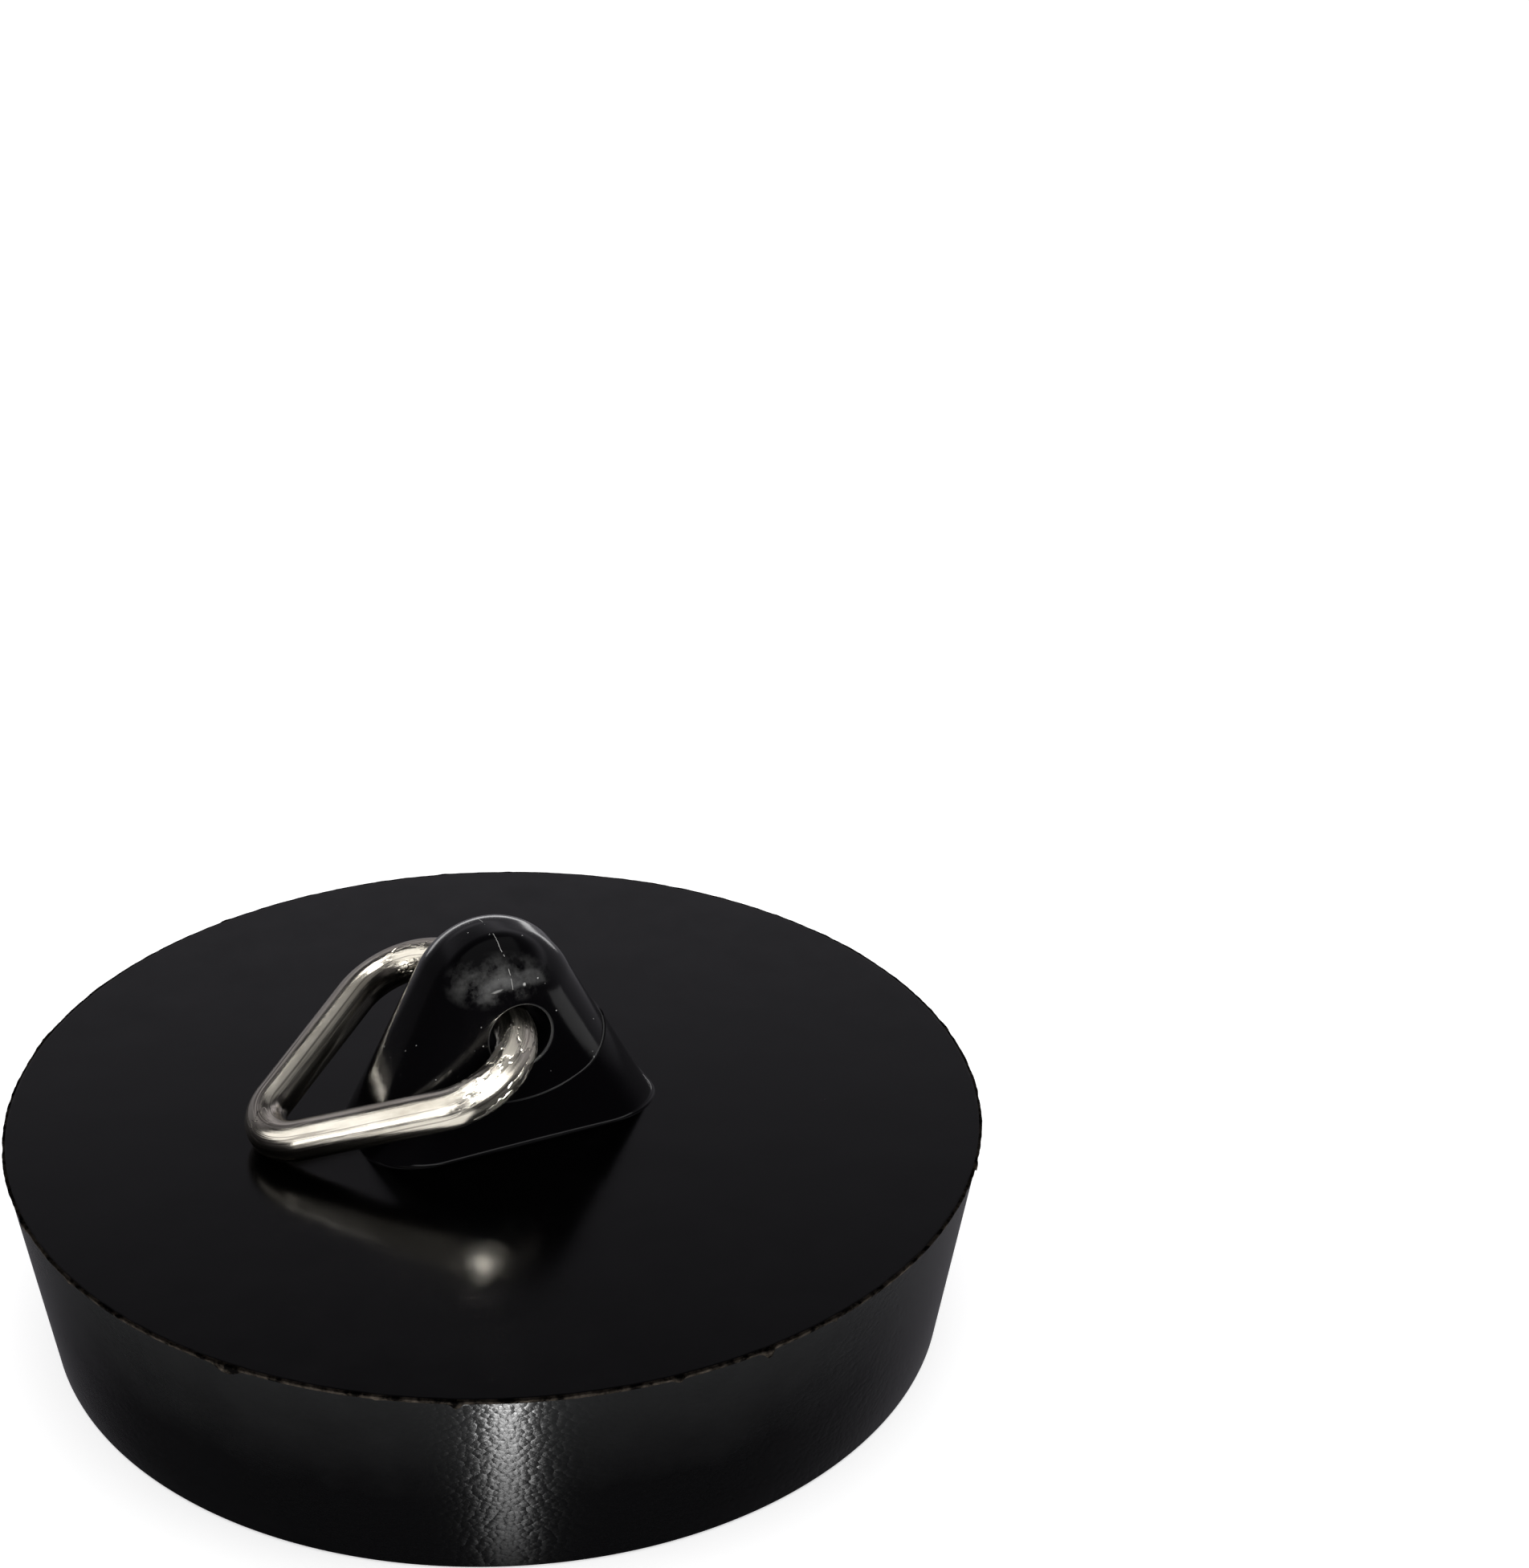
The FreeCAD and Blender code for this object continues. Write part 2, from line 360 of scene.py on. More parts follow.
def lug_spot(across, y):
    """Point on the lug, in metres, from its place in the middle plane and its place across."""
    return metres(across.x, y, PLUG_HEIGHT + across.y)


def lug():
    """Lug with its hole: rings grow from inside the hole over its rim and face to the outline."""
    shape = bmesh.new()
    hole = Vector((0, HOLE_Z))
    start = Matrix.Translation(metres(0, 0, PLUG_HEIGHT + HOLE_Z)) @ Matrix.Rotation(math.pi / 2, 4, "X")
    bmesh.ops.create_circle(shape, segments=LUG_RAYS, radius=HOLE_RADIUS * MM, matrix=start)
    ends = {}

    def end_of(heading):
        key = (round(heading.x, KEY_DIGITS), round(heading.y, KEY_DIGITS))
        if key not in ends:
            ends[key] = reach_along(hole, heading, in_outline)
        return ends[key]

    def on_rim(lean):
        def place(spot):
            heading = lug_ray(spot)
            across = hole + heading * (HOLE_RADIUS + HOLE_RIM_ROUND * (1 - math.sin(lean)))
            return lug_spot(across, -half_thickness(*across) + HOLE_RIM_ROUND * (1 - math.cos(lean)))
        return place

    def on_face(share):
        def place(spot):
            heading = lug_ray(spot)
            rim_end = HOLE_RADIUS + HOLE_RIM_ROUND
            eased = math.sin(share * math.pi / 2)
            across = hole + heading * (rim_end + (end_of(heading) - rim_end) * eased)
            return lug_spot(across, -half_thickness(*across))
        return place

    def on_middle(spot):
        return Vector((spot.x, 0, spot.z))

    edges = shape.edges[:]
    for step in range(RIM_RINGS + 1):
        lean = math.pi / 2 * (1 - step / RIM_RINGS)
        edges = ring_out(shape, edges, on_rim(lean))
    for step in range(FACE_RINGS):
        edges = ring_out(shape, edges, on_face((step + 1) / FACE_RINGS))
    ring_out(shape, edges, on_middle)
    half = shape.verts[:] + shape.edges[:] + shape.faces[:]
    bmesh.ops.mirror(shape, geom=half, matrix=Matrix.Identity(4), merge_dist=MERGE * MM, axis="Y")
    bmesh.ops.remove_doubles(shape, verts=shape.verts, dist=MERGE * MM)
    bmesh.ops.recalc_face_normals(shape, faces=shape.faces)
    smooth(shape, sharp_angle=math.radians(60))
    return shape


def foot():
    """Foot of the lug up to the dipping mould line, with a small fillet on to the disc."""
    shape = bmesh.new()
    bmesh.ops.create_circle(shape, segments=FOOT_RAYS, radius=MM)

    def slice_reach(heading, height):
        def in_slice(point):
            return inset(point.x, height) > 0 and abs(point.y) < half_thickness(point.x, height)
        return reach_along(Vector((0, 0)), heading, in_slice)

    def line_height(heading):
        height = FOOT_HEIGHT
        for settling in range(SETTLINGS):
            x = heading.x * slice_reach(heading, height)
            height = FOOT_HEIGHT + FOOT_ARC_RADIUS - math.sqrt(max(0.0, FOOT_ARC_RADIUS ** 2 - x ** 2))
        return height

    lines = {}

    def at(height_below, flare, inward):
        def place(spot):
            heading = Vector((spot.x / MM - FOOT_SHIFT.x, spot.y / MM - FOOT_SHIFT.y)).normalized()
            key = (round(heading.x, KEY_DIGITS), round(heading.y, KEY_DIGITS))
            if key not in lines:
                lines[key] = line_height(heading)
            height = height_below(lines[key])
            reach = slice_reach(heading, max(0.0, height)) + flare - inward
            across = heading * reach + FOOT_SHIFT
            return metres(across.x, across.y, PLUG_HEIGHT + height)
        return place

    edges = shape.edges[:]
    root = at(lambda line: -LUG_SUNK, FOOT_FILLET, 0)
    for vert in shape.verts:
        vert.co = root(vert.co + metres(FOOT_SHIFT.x, FOOT_SHIFT.y, 0))
    for step in range(FILLET_RINGS + 1):
        turn = math.pi / 2 * step / FILLET_RINGS
        height = FOOT_FILLET * (1 - math.cos(turn))
        edges = ring_out(shape, edges, at(lambda line: height, FOOT_FILLET * (1 - math.sin(turn)), 0))
    for step in range(FOOT_RINGS):
        share = (step + 1) / FOOT_RINGS
        edges = ring_out(shape, edges, at(lambda line: FOOT_FILLET + (line - FOOT_FILLET) * share, 0, 0))
    ring_out(shape, edges, at(lambda line: line, 0, LEDGE_DEPTH))
    bmesh.ops.holes_fill(shape, edges=shape.edges[:], sides=0)
    bmesh.ops.recalc_face_normals(shape, faces=shape.faces)
    smooth(shape, sharp_angle=math.radians(40))
    return shape


# Ring

def draw_on(shape, edges, move, length, wear_and_highlight):
    """Draws the wire on by one short step and notes its length and wear on the new vertices."""
    drawn = shape.verts.layers.float_vector["drawn"]
    scuffed = shape.verts.layers.float["scuffed"]
    made = bmesh.ops.extrude_edge_only(shape, edges=edges)["geom"]
    verts = [item for item in made if isinstance(item, bmesh.types.BMVert)]
    bmesh.ops.transform(shape, matrix=move, verts=verts)
    for vert in verts:
        vert[drawn] = vert[drawn] + Vector((length * MM, 0, 0))
        vert[scuffed] = wear_and_highlight
    kept = set(verts)
    return [item for item in made if isinstance(item, bmesh.types.BMEdge) and set(item.verts) <= kept]


def run_on(shape, edges, way):
    """Draws the wire on straight, by a way in millimetres."""
    steps = max(1, round(way.length / WIRE_STEP))
    for step in range(steps):
        edges = draw_on(shape, edges, Matrix.Translation(way * MM / steps), way.length / steps, 0.0)
    return edges


def bend_on(shape, edges, middle, turn, radius, wear):
    """Bends the wire on about a middle, in the ring's plane. It is scuffed most in the bend's middle."""
    steps = round(turn * radius / WIRE_STEP)
    centre = Matrix.Translation(middle * MM)
    move = centre @ Matrix.Rotation(turn / steps, 4, "Z") @ centre.inverted()
    for step in range(steps):
        wear_and_highlight = wear * math.sin(math.pi * (step + 1) / steps)
        edges = draw_on(shape, edges, move, radius * turn / steps, wear_and_highlight)
    return edges


def wire_ring():
    """Pull ring: one wire, bent to a rounded triangle, with its ends meeting in the hole."""
    base = Vector((-BASE_BEND_RADIUS, BASE_RUN / 2, 0))
    apex = Vector((APEX_BEND_RADIUS - RING_REACH, 0, 0))
    between = apex - base
    narrowing = math.asin((BASE_BEND_RADIUS - APEX_BEND_RADIUS) / between.length)
    half_angle = math.atan2(-between.y, -between.x) + narrowing
    leg_out = Vector((-math.sin(half_angle), math.cos(half_angle), 0))
    leg = apex + leg_out * APEX_BEND_RADIUS - base - leg_out * BASE_BEND_RADIUS
    base_turn = math.pi / 2 + half_angle
    apex_turn = math.pi - 2 * half_angle
    tip = Vector((0, WIRE_END_GAP / 2, 0))
    mirror_y = Vector((1, -1, 1))

    shape = bmesh.new()
    shape.verts.layers.float_vector.new("drawn")
    shape.verts.layers.float.new("scuffed")
    start = Matrix.Translation(tip * MM) @ Matrix.Rotation(math.pi / 2, 4, "X")
    bmesh.ops.create_circle(shape, segments=WIRE_SIDES, radius=(WIRE_RADIUS - WIRE_END_ROUND) * MM,
                            matrix=start, cap_ends=True)
    drawn = shape.verts.layers.float_vector["drawn"]
    for vert in shape.verts:
        vert[drawn] = Vector((0, vert.co.x, vert.co.z))
    edges = shape.edges[:]
    edges = run_on(shape, edges, Vector((0, WIRE_END_ROUND, 0)))
    for vert in {vert for edge in edges for vert in edge.verts}:
        out = Vector((vert.co.x, 0, vert.co.z))
        vert.co += out.normalized() * WIRE_END_ROUND * MM
    edges = run_on(shape, edges, Vector((0, BASE_RUN / 2 - WIRE_END_GAP / 2 - WIRE_END_ROUND, 0)))
    edges = bend_on(shape, edges, base, base_turn, BASE_BEND_RADIUS, FAR_BEND_WEAR)
    edges = run_on(shape, edges, leg)
    edges = bend_on(shape, edges, apex, apex_turn, APEX_BEND_RADIUS, APEX_WEAR)
    edges = run_on(shape, edges, -leg * mirror_y)
    edges = bend_on(shape, edges, base * mirror_y, base_turn, BASE_BEND_RADIUS, NEAR_BEND_WEAR)
    edges = run_on(shape, edges, Vector((0, BASE_RUN / 2 - WIRE_END_GAP / 2 - WIRE_END_ROUND, 0)))
    edges = run_on(shape, edges, Vector((0, WIRE_END_ROUND, 0)))
    for vert in {vert for edge in edges for vert in edge.verts}:
        out = Vector((vert.co.x, 0, vert.co.z))
        vert.co -= out.normalized() * WIRE_END_ROUND * MM
    bmesh.ops.holes_fill(shape, edges=edges, sides=0)
    bmesh.ops.remove_doubles(shape, verts=shape.verts, dist=MERGE / 2 * MM)
    bmesh.ops.recalc_face_normals(shape, faces=shape.faces)
    at_rest = Matrix.Translation(metres(0, RING_SIDE_SHIFT, PIVOT_Z)) @ Matrix.Rotation(-REST_TILT, 4, "Y")
    bmesh.ops.transform(shape, matrix=at_rest, verts=shape.verts)
    smooth(shape, sharp_angle=math.radians(50))
    return shape


# Finishes

MARK_FADE = (0.4, 1.0)      # where a mark starts and ends to fade, in parts of its half size


class Finish:
    """A procedural material: nodes are added and joined in short calls."""

    def __init__(self, name):
        self.made = bpy.data.materials.new(name)
        self.made.use_nodes = True
        self.tree = self.made.node_tree
        self.surface = self.tree.nodes["Principled BSDF"]
        self.place = self.add("ShaderNodeTexCoord").outputs["Object"]

    def add(self, kind, **settings):
        """New node of a kind, with its settings."""
        node = self.tree.nodes.new(kind)
        for name, value in settings.items():
            setattr(node, name, value)
        return node

    def put(self, value, socket):
        """Sets a socket, or joins another node's output to it."""
        if isinstance(value, bpy.types.NodeSocket):
            self.tree.links.new(value, socket)
        else:
            socket.default_value = value

    def set(self, **sockets):
        """Sets sockets of the surface. An underscore in a name stands for a space."""
        for name, value in sockets.items():
            self.put(value, self.surface.inputs[name.replace("_", " ")])

    def own(self, name, output):
        """A pattern that the piece's own mesh carries."""
        return self.add("ShaderNodeAttribute", attribute_name=name).outputs[output]

    def part(self, vector, axis):
        """One of the three parts of a vector."""
        node = self.add("ShaderNodeSeparateXYZ")
        self.put(vector, node.inputs["Vector"])
        return node.outputs[axis]

    def stretched(self, place, stretch):
        """A place with its three directions scaled."""
        node = self.add("ShaderNodeMapping")
        self.put(place, node.inputs["Vector"])
        node.inputs["Scale"].default_value = stretch
        return node.outputs["Vector"]

    def noise(self, per_mm, detail, roughness, stretch=(1, 1, 1), place=None):
        """Cloudy noise, at the piece's own place or at another one."""
        node = self.add("ShaderNodeTexNoise")
        self.put(self.stretched(place or self.place, stretch), node.inputs["Vector"])
        node.inputs["Scale"].default_value = per_mm / MM
        node.inputs["Detail"].default_value = detail
        node.inputs["Roughness"].default_value = roughness
        return node.outputs["Fac"]

    def specks(self, per_mm, size, share):
        """Mask of small specks: their size in parts of a cell, and the share of cells that hold one."""
        cell = self.add("ShaderNodeTexVoronoi")
        self.put(self.place, cell.inputs["Vector"])
        cell.inputs["Scale"].default_value = per_mm / MM
        pick = self.part(cell.outputs["Color"], "X")
        reach = self.span(pick, of=(1 - share, 1), to=(0, size))
        return self.math("LESS_THAN", cell.outputs["Distance"], reach)

    def pebbles(self, per_mm, stretch):
        """Low domes that meet in creases."""
        cell = self.add("ShaderNodeTexVoronoi")
        self.put(self.stretched(self.place, stretch), cell.inputs["Vector"])
        cell.inputs["Scale"].default_value = per_mm / MM
        return self.math("SUBTRACT", 1, self.math("POWER", cell.outputs["Distance"], 2))

    def reach(self, middle, lean, half_sizes):
        """Distance from a middle, counted in half sizes. Lengths are in millimetres."""
        local = self.add("ShaderNodeMapping", vector_type="TEXTURE")
        self.put(self.place, local.inputs["Vector"])
        local.inputs["Location"].default_value = metres(*middle)
        local.inputs["Rotation"].default_value = (0, lean, 0)
        local.inputs["Scale"].default_value = metres(*half_sizes)
        reach = self.add("ShaderNodeVectorMath", operation="LENGTH")
        self.put(local.outputs["Vector"], reach.inputs[0])
        return reach.outputs["Value"]

    def mark(self, middle, lean, half_sizes):
        """Mask of one long round mark that fades out at its edge."""
        return self.span(self.reach(middle, lean, half_sizes), of=MARK_FADE, to=(1, 0))

    def span(self, value, of, to):
        """Turns one range of values into another, and stops at its ends."""
        node = self.add("ShaderNodeMapRange")
        self.put(value, node.inputs["Value"])
        node.inputs["From Min"].default_value, node.inputs["From Max"].default_value = of
        node.inputs["To Min"].default_value, node.inputs["To Max"].default_value = to
        return node.outputs["Result"]

    def math(self, operation, one, other):
        """Result of an operation on two values."""
        node = self.add("ShaderNodeMath", operation=operation)
        self.put(one, node.inputs[0])
        self.put(other, node.inputs[1])
        return node.outputs["Value"]

    def mix(self, share, one, other):
        """Colour between two, by the share of the other one."""
        node = self.add("ShaderNodeMix", data_type="RGBA")
        self.put(share, node.inputs["Factor"])
        self.put(one, node.inputs["A"])
        self.put(other, node.inputs["B"])
        return node.outputs["Result"]

    def bump(self, height, depth_mm, under=None):
        """Normal of a pattern in relief, laid over another relief if there is one."""
        node = self.add("ShaderNodeBump")
        self.put(height, node.inputs["Height"])
        node.inputs["Strength"].default_value = 1.0
        node.inputs["Distance"].default_value = depth_mm * MM
        if under is not None:
            self.put(under, node.inputs["Normal"])
        return node.outputs["Normal"]


RUBBER_BLACK = (0.0012, 0.0011, 0.0014, 1)
DISC_DUST = (0.05, 0.05, 0.05, 1)
# Pale colour of real dust and the seam, also used for painted glints on the dent and the pip
LUG_DUST_AND_GLINT = (0.3, 0.3, 0.29, 1)
# Painted highlight: pale patch on the lug's front that stands in for a lamp's soft reflection
LUG_PAINTED_HIGHLIGHT = (0.05, 0.05, 0.049, 1)
# Painted highlight along the hole's edge and the mould line
LUG_PAINTED_EDGE_HIGHLIGHT = (0.055, 0.055, 0.055, 1)
# Painted shade low on the wall and painted light towards its rim
WALL_PAINTED_SHADE_LOW = (0.005, 0.005, 0.0054, 1)
WALL_PAINTED_LIGHT_HIGH = (0.022, 0.0225, 0.023, 1)
CAVITY_BLACK = (0.002, 0.002, 0.0024, 1)
FIN_BLACK = (0.004, 0.0037, 0.0035, 1)
FIN_BROWN = (0.1, 0.084, 0.068, 1)
# Painted sheen: greys of the matt mouth rim, lighter than its black rubber
MOUTH_PAINTED_SHEEN_DARK = (0.02, 0.02, 0.02, 1)
MOUTH_PAINTED_SHEEN_PALE = (0.035, 0.035, 0.035, 1)
STEEL_BRIGHT = (0.68, 0.64, 0.56, 1)
STEEL_TARNISHED = (0.48, 0.44, 0.37, 1)
# Painted shade of the wire's grooves
STEEL_GROOVE_SHADE = (0.16, 0.14, 0.12, 1)


def disc_rubber():
    """Glossy top disc, nearly clean."""
    finish = Finish("disc_rubber")
    swell = finish.noise(per_mm=0.2, detail=1, roughness=0.5)
    fine = finish.noise(per_mm=8, detail=3, roughness=0.6)
    wear_and_highlight = finish.noise(per_mm=0.5, detail=4, roughness=0.6)
    dust = finish.specks(per_mm=0.8, size=0.045, share=0.12)
    finish.set(Base_Color=finish.mix(dust, RUBBER_BLACK, DISC_DUST))
    finish.set(Roughness=finish.span(wear_and_highlight, of=(0.35, 0.7), to=(0.14, 0.2)), Specular_IOR_Level=0.15)
    finish.set(Normal=finish.bump(fine, depth_mm=0.0012, under=finish.bump(swell, depth_mm=0.01)))
    return finish.made


# Marks on the front of the lug; the patch, the dent, the pip and the edges carry painted highlights
SEAM_X = -0.25
SEAM_HALF_WIDTH = 0.015
SEAM_LOW_Z = 19.1
# The dent and the pip are small raised marks; their pale colour is a painted glint
DENT = (-1.02, -2.95, 19.13)
DENT_HALF_SIZES = (0.34, 0.4, 0.075)
DENT_LEAN = math.radians(-11)
PIP = (0.37, -3.0, 19.22)
PIP_HALF_SIZES = (0.1, 0.4, 0.1)
# Painted highlight patch on the lug's front
HIGHLIGHT_PATCH = (-1.1, -2.6, 19.5)
HIGHLIGHT_PATCH_HALF_SIZES = (3.2, 2.0, 1.3)
DUST_LOW_Z = PLUG_HEIGHT + FOOT_HEIGHT
ARC_MIDDLE_Z = PLUG_HEIGHT + FOOT_HEIGHT + FOOT_ARC_RADIUS
LINE_SHARE = 0.005          # half width of the mould line in parts of its arc's radius
LINE_HIGHLIGHT_FADE_X = 2             # the mould line's painted highlight fades from here to as far left
EDGE_HIGHLIGHT_SHARE = 0.6             # how pale the painted edge highlights get
DUST_FADE = 2.5             # height over which the dust comes in
SEAM_WOBBLE = 0.12
# Painted highlight round the hole's rim
HOLE_EDGE_START = 1.004     # in parts of the hole's radius
HOLE_EDGE_FADE = (1.03, 1.09)
SEAM_BREAK = 0.5            # the seam is gone where its noise is below this
DENT_GLINT_SHARE = 0.5
ENDLESS = 1000              # half size along which a mark has no end


def lug_rubber():
    """Glossy lug, dusty higher up: a broken seam over its top, a painted highlight patch, a dent and a pip
    painted pale as glints, and painted highlights on the hole's edge and the mould line.
    """
    finish = Finish("lug_rubber")
    height = finish.part(finish.place, "Z")
    mottle = finish.noise(per_mm=0.9, detail=5, roughness=0.62)
    grain = finish.noise(per_mm=11, detail=2, roughness=0.5)
    dusty = finish.span(height, of=(DUST_LOW_Z * MM, (DUST_LOW_Z + DUST_FADE) * MM), to=(0, 1))
    dust = finish.math("MULTIPLY", finish.specks(per_mm=2.6, size=0.13, share=0.3), dusty)
    seam = lug_seam(finish, height)
    # Dent and pip: real relief, painted pale as glints
    dent = finish.mark(DENT, DENT_LEAN, DENT_HALF_SIZES)
    pip = finish.mark(PIP, 0, PIP_HALF_SIZES)
    # Painted highlights along the hole's edge and the mould line
    edges = finish.math("MAXIMUM", lug_hole_edge(finish), lug_mould_line(finish, height))
    # Painted highlight: a pale patch on the front, broken up by the mottle, stands in for a lamp's soft
    # reflection
    painted_light = finish.math("MULTIPLY", finish.mark(HIGHLIGHT_PATCH, 0, HIGHLIGHT_PATCH_HALF_SIZES),
                        finish.span(mottle, of=(0.42, 0.66), to=(0, 1)))
    dust_seam_and_glints = finish.math("MAXIMUM", dust, finish.math("MAXIMUM", seam, pip))
    tone = finish.mix(painted_light, RUBBER_BLACK, LUG_PAINTED_HIGHLIGHT)
    tone = finish.mix(edges, tone, LUG_PAINTED_EDGE_HIGHLIGHT)
    tone = finish.mix(dust_seam_and_glints, tone, LUG_DUST_AND_GLINT)
    tone = finish.mix(finish.math("MULTIPLY", dent, DENT_GLINT_SHARE), tone, LUG_DUST_AND_GLINT)
    finish.set(Base_Color=tone, Specular_IOR_Level=0.25)
    finish.set(Roughness=finish.span(mottle, of=(0.3, 0.7), to=(0.12, 0.19)))
    raised = finish.math("ADD", finish.math("ADD", dent, pip), dust_seam_and_glints)
    skin = finish.bump(mottle, depth_mm=0.003, under=finish.bump(grain, depth_mm=0.0006))
    finish.set(Normal=finish.bump(raised, depth_mm=0.02, under=skin))
    return finish.made


def lug_seam(finish, height):
    """Mask of the thin broken seam over the lug's top."""
    wave = finish.noise(per_mm=1.1, detail=2, roughness=0.5)
    wobble = finish.span(wave, of=(0, 1), to=(-SEAM_WOBBLE * MM, SEAM_WOBBLE * MM))
    aside = finish.math("ADD", finish.part(finish.place, "X"), wobble)
    off_seam = finish.math("ABSOLUTE", finish.math("SUBTRACT", aside, SEAM_X * MM), 0)
    on_seam = finish.math("LESS_THAN", off_seam, SEAM_HALF_WIDTH * MM)
    above = finish.math("GREATER_THAN", height, SEAM_LOW_Z * MM)
    kept = finish.math("GREATER_THAN", finish.noise(per_mm=1.6, detail=2, roughness=0.5), SEAM_BREAK)
    return finish.math("MULTIPLY", on_seam, finish.math("MULTIPLY", above, kept))


def lug_hole_edge(finish):
    """Mask of the painted highlight along the rounded edge round the lug's hole."""
    from_hole = finish.reach((0, 0, PIVOT_Z), 0, (HOLE_RADIUS, ENDLESS, HOLE_RADIUS))
    return finish.math("MULTIPLY", finish.math("GREATER_THAN", from_hole, HOLE_EDGE_START),
                       finish.span(from_hole, of=HOLE_EDGE_FADE, to=(EDGE_HIGHLIGHT_SHARE, 0)))


def lug_mould_line(finish, height):
    """Mask of the painted highlight on the dipping line where the mould's halves met."""
    from_arc = finish.reach((0, 0, ARC_MIDDLE_Z), 0, (FOOT_ARC_RADIUS, ENDLESS, FOOT_ARC_RADIUS))
    off_line = finish.math("ABSOLUTE", finish.math("SUBTRACT", from_arc, 1), 0)
    line = finish.math("MULTIPLY", finish.math("LESS_THAN", off_line, LINE_SHARE),
                       finish.math("LESS_THAN", height, ARC_MIDDLE_Z * MM))
    aside = finish.part(finish.place, "X")
    # The painted highlight fades out towards the left
    wear_and_highlight = finish.span(aside, of=(-LINE_HIGHLIGHT_FADE_X * MM, LINE_HIGHLIGHT_FADE_X * MM), to=(0, EDGE_HIGHLIGHT_SHARE))
    return finish.math("MULTIPLY", line, wear_and_highlight)


WALL_PAINTED_LIGHT_LOW_Z = 4.5      # painted shade up to here; the wall is painted paler towards the rim as painted light
WALL_PAINTED_LIGHT_UNEVEN = 1.5


def wall_rubber():
    """Satin side wall: its grain runs round, so a light stretches to an upright streak on it. Its colour
    holds painted shade low down and painted light towards the rim.
    """
    finish = Finish("wall_rubber")
    pebbles = finish.pebbles(per_mm=3.0, stretch=(1, 1, 1.4))
    grain = finish.noise(per_mm=3.2, detail=3, roughness=0.6, stretch=(1, 1, 1.6))
    cloud = finish.noise(per_mm=0.4, detail=3, roughness=0.5)
    # Painted light: the colour is dark low down and painted paler towards the rim, with an uneven edge
    uneven = finish.span(cloud, of=(0, 1), to=(-WALL_PAINTED_LIGHT_UNEVEN * MM, WALL_PAINTED_LIGHT_UNEVEN * MM))
    height = finish.math("ADD", finish.part(finish.place, "Z"), uneven)
    painted_light = finish.span(height, of=(WALL_PAINTED_LIGHT_LOW_Z * MM, PLUG_HEIGHT * MM), to=(0, 1))
    finish.set(Base_Color=finish.mix(painted_light, WALL_PAINTED_SHADE_LOW, WALL_PAINTED_LIGHT_HIGH))
    finish.set(Roughness=0.22, Anisotropic=1.0, Specular_IOR_Level=0.07)
    finish.set(Normal=finish.bump(pebbles, depth_mm=0.013, under=finish.bump(grain, depth_mm=0.011)))
    tangent = finish.add("ShaderNodeTangent", direction_type="UV_MAP", uv_map="upright")
    finish.put(tangent.outputs["Tangent"], finish.surface.inputs["Tangent"])
    return finish.made


def cavity_rubber():
    """Inside of the cup, half glossy."""
    finish = Finish("cavity_rubber")
    wear_and_highlight = finish.noise(per_mm=0.5, detail=4, roughness=0.6)
    grain = finish.noise(per_mm=4, detail=3, roughness=0.6)
    finish.set(Base_Color=CAVITY_BLACK, Roughness=finish.span(wear_and_highlight, of=(0.3, 0.7), to=(0.22, 0.4)))
    finish.set(Normal=finish.bump(grain, depth_mm=0.006))
    return finish.made


def fin_rubber():
    """Torn fin on the rim, browner and duller where it is thin."""
    finish = Finish("fin_rubber")
    patches = finish.noise(per_mm=1.4, detail=5, roughness=0.7)
    grain = finish.noise(per_mm=9, detail=3, roughness=0.6)
    thin = finish.span(patches, of=(0.42, 0.68), to=(0, 1))
    finish.set(Base_Color=finish.mix(thin, FIN_BLACK, FIN_BROWN))
    finish.set(Roughness=0.8, Specular_IOR_Level=0.0)
    finish.set(Normal=finish.bump(grain, depth_mm=0.015))
    return finish.made


def rim_rubber():
    """Mouth rim, cut flat and matt. Its grey is a painted sheen, uneven in tone."""
    finish = Finish("rim_rubber")
    grain = finish.noise(per_mm=6, detail=3, roughness=0.6)
    cloud = finish.noise(per_mm=0.8, detail=3, roughness=0.5)
    finish.set(Base_Color=finish.mix(cloud, MOUTH_PAINTED_SHEEN_DARK, MOUTH_PAINTED_SHEEN_PALE), Roughness=0.6)
    finish.set(Normal=finish.bump(grain, depth_mm=0.006))
    return finish.made


GROOVE_MIDDLE = 0.5         # a groove's painted shade runs where its noise crosses this
GROOVE_SHADE_SHARE = 0.6
FLAT_ROUGHNESS = 0.1        # how much rougher a flat is than the drawn wire


